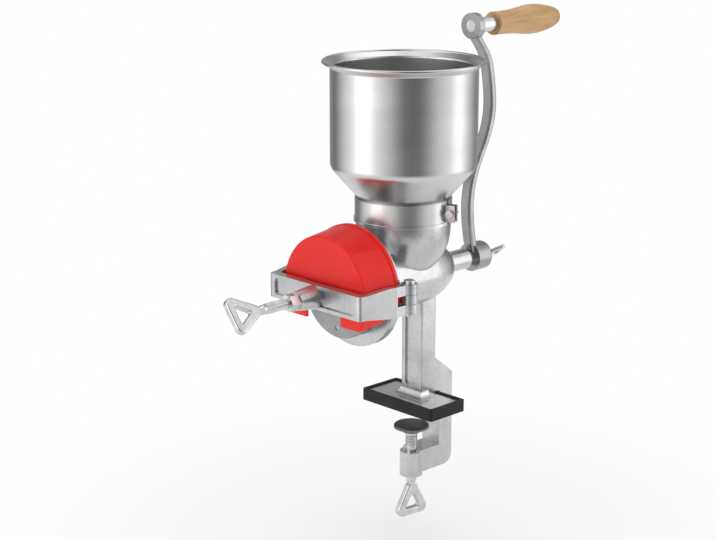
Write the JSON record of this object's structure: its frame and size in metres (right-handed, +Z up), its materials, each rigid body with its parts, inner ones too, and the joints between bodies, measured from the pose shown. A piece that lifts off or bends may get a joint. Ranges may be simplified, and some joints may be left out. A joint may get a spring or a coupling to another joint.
{
  "type": "hand-cranked plate mill",
  "caption": "Hand-cranked plate mill for nuts and grain, with a sheet-steel hopper, feed screw, guarded grinding plates, yoke with adjusting screw, and a screw clamp for a table edge",
  "frame": {"origin": "centre of the table pad's underside, on the table top", "axes": "+X runs along the crank shaft from the grinding plates to the crank, +Z is up, and +Y completes a right-handed frame"},
  "size_m": [0.4535, 0.1632, 0.5234],
  "materials": {
    "cast_metal": "tumbled bright casting",
    "polished_steel": "polished sheet",
    "plated_steel": "bright plating",
    "clamp_steel": "dark pressed disc",
    "shaft_steel": "turned steel",
    "burr_iron": "ground iron",
    "red_paint": "glossy red",
    "black_rubber": "matte black",
    "grip_wood": "varnished"
  },
  "bodies": {
    "mill_body": {"body_casting": "cast_metal", "table_pad": "black_rubber", "yoke": "cast_metal", "guard": "red_paint", "hopper": "polished_steel", "hopper_collar": "polished_steel", "collar_screw": "plated_steel", "collar_nut": "plated_steel", "fixed_burr": "burr_iron", "fixed_burr_screws": "shaft_steel"},
    "thrust": {"thrust_ball": "plated_steel"},
    "adjuster": {"adjusting_screw": "plated_steel"},
    "crank": {"auger_shaft": "shaft_steel", "rotating_burr": "burr_iron", "rotating_burr_screws": "shaft_steel", "burr_carrier": "cast_metal", "crank_arm": "cast_metal", "crank_washer": "plated_steel", "grip_spindle": "plated_steel"},
    "handle_grip": {"grip": "grip_wood"},
    "thumb_screw": {"crank_thumb_screw": "plated_steel"},
    "nut": {"lock_nut": "plated_steel"},
    "pin_left": {"yoke_pin_left": "plated_steel"},
    "pin_right": {"yoke_pin_right": "plated_steel"},
    "clamp_pressure": {"clamp_disc": "clamp_steel"},
    "clamp_handle": {"clamp_screw": "plated_steel"}
  },
  "joints": [
    {"name": "adjust_travel", "type": "slide", "parent": "mill_body", "child": "thrust", "axis": [1, 0, 0], "range_m": [-0.0045, 0.0012]},
    {"name": "adjust_turn", "type": "hinge", "parent": "thrust", "child": "adjuster", "pos_m": [-0.16, 0, 0.144], "axis": [1, 0, 0], "range_deg": [-1080, 288]},
    {"name": "crank_turn", "type": "hinge", "parent": "thrust", "child": "crank", "pos_m": [0.0936, 0, 0.144], "axis": [1, 0, 0], "continuous": true},
    {"name": "grip_spin", "type": "hinge", "parent": "crank", "child": "handle_grip", "pos_m": [0.16, 0, 0.387], "axis": [1, 0, 0], "continuous": true},
    {"name": "thumb_turn", "type": "hinge", "parent": "crank", "child": "thumb_screw", "pos_m": [0.11, 0, 0.144], "axis": [1, 0, 0], "range_deg": [-720, 0]},
    {"name": "nut_slide", "type": "slide", "parent": "mill_body", "child": "nut", "axis": [-1, 0, 0], "range_m": [0, 0.02]},
    {"name": "pin_left_lift", "type": "slide", "parent": "mill_body", "child": "pin_left", "axis": [0, 0, 1], "range_m": [0, 0.045]},
    {"name": "pin_right_lift", "type": "slide", "parent": "mill_body", "child": "pin_right", "axis": [0, 0, 1], "range_m": [0, 0.045]},
    {"name": "clamp_travel", "type": "slide", "parent": "mill_body", "child": "clamp_pressure", "axis": [0, 0, 1], "range_m": [-0.0175, 0.0077]},
    {"name": "clamp_turn", "type": "hinge", "parent": "clamp_pressure", "child": "clamp_handle", "pos_m": [-0.002, 0, -0.08], "axis": [0, 0, 1], "range_deg": [-3600, 1584]}
  ],
  "couplings": [
    {"joint": "adjust_turn", "follows": "adjust_travel", "rad_per_m": 4188.8},
    {"joint": "clamp_turn", "follows": "clamp_travel", "rad_per_m": 3590.4}
  ]
}
